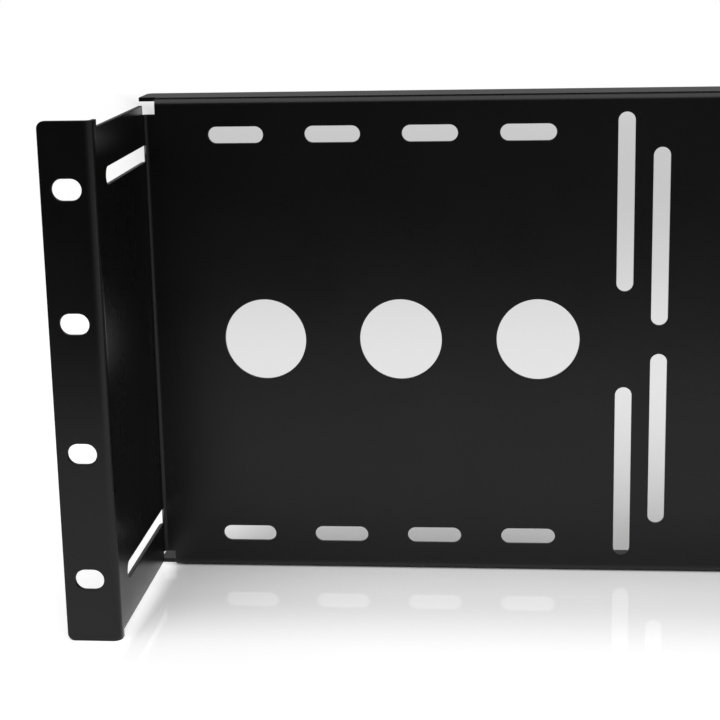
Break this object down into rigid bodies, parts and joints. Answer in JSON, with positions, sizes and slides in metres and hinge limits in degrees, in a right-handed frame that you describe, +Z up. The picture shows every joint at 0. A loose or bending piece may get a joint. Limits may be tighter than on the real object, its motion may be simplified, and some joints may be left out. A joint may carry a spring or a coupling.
{
  "type": "rack monitor mounting bracket",
  "caption": "Black folded-sheet bracket that holds a flat monitor recessed in a 19-inch rack, with slotted ears, a slotted and holed panel, and rear flanges.",
  "frame": {"origin": "midway between the two ears, at mid height, on the ears' rear faces that bear on the rack's rails", "axes": "+X to the right along the rack's front, +Y into the rack, +Z up"},
  "size_m": [0.4826, 0.095, 0.1778],
  "materials": {
    "powder_coat": "satin black powder coat with a very fine texture on steel sheet"
  },
  "bodies": {
    "root": {"folded_bracket": "powder_coat"}
  },
  "joints": []
}
